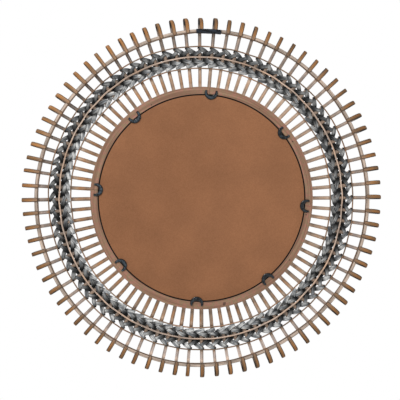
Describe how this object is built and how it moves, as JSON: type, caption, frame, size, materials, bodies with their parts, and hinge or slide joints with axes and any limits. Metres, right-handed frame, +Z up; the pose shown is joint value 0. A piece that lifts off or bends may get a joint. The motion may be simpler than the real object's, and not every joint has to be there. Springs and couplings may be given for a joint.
{
  "type": "wall mirror",
  "caption": "Round wall mirror in a sunburst frame of looped flat rattan spokes tied by bent hoops and twined grey bands, with a wooden ring, backing board and black clips.",
  "frame": {"origin": "middle of the underside of the black binding at the top of the outer hoop, where a nail or hook bears", "axes": "+Z up, -Y out of the mirror glass towards the viewer, +Y towards the wall, +X to the right seen from the front"},
  "size_m": [0.7596, 0.0229, 0.7597],
  "materials": {
    "mirror_glass": "polished silvered glass",
    "backing_board": "bare brown fibreboard",
    "ring_wood": "bare pinkish brown wood",
    "trim_ring": "half-round cane, satin",
    "black_clip": "black, half gloss",
    "split_rattan": "bare split rattan with a grey wash",
    "round_reed": "bare round reed",
    "grey_strand": "grey stained flat reed",
    "black_binding": "black tape, half gloss"
  },
  "bodies": {
    "root": {"mirror_glass": "mirror_glass", "backing_board": "backing_board", "ring_quarter_1": "ring_wood", "ring_quarter_2": "ring_wood", "ring_quarter_3": "ring_wood", "ring_quarter_4": "ring_wood", "front_trim_ring": "trim_ring", "board_clip_1": "black_clip", "board_clip_2": "black_clip", "board_clip_3": "black_clip", "board_clip_4": "black_clip", "board_clip_5": "black_clip", "board_clip_6": "black_clip", "board_clip_7": "black_clip", "board_clip_8": "black_clip", "spoke_loops_on_outer_hoop": "split_rattan", "hanger_loops": "split_rattan", "outer_hoop_rod": "round_reed", "outer_thin_hoop": "round_reed", "middle_hoop": "round_reed", "inner_thin_hoop": "round_reed", "inner_band_strand_1": "grey_strand", "inner_band_strand_2": "grey_strand", "outer_band_strand_1": "grey_strand", "outer_band_strand_2": "grey_strand", "hanger_binding": "black_binding"}
  },
  "joints": []
}
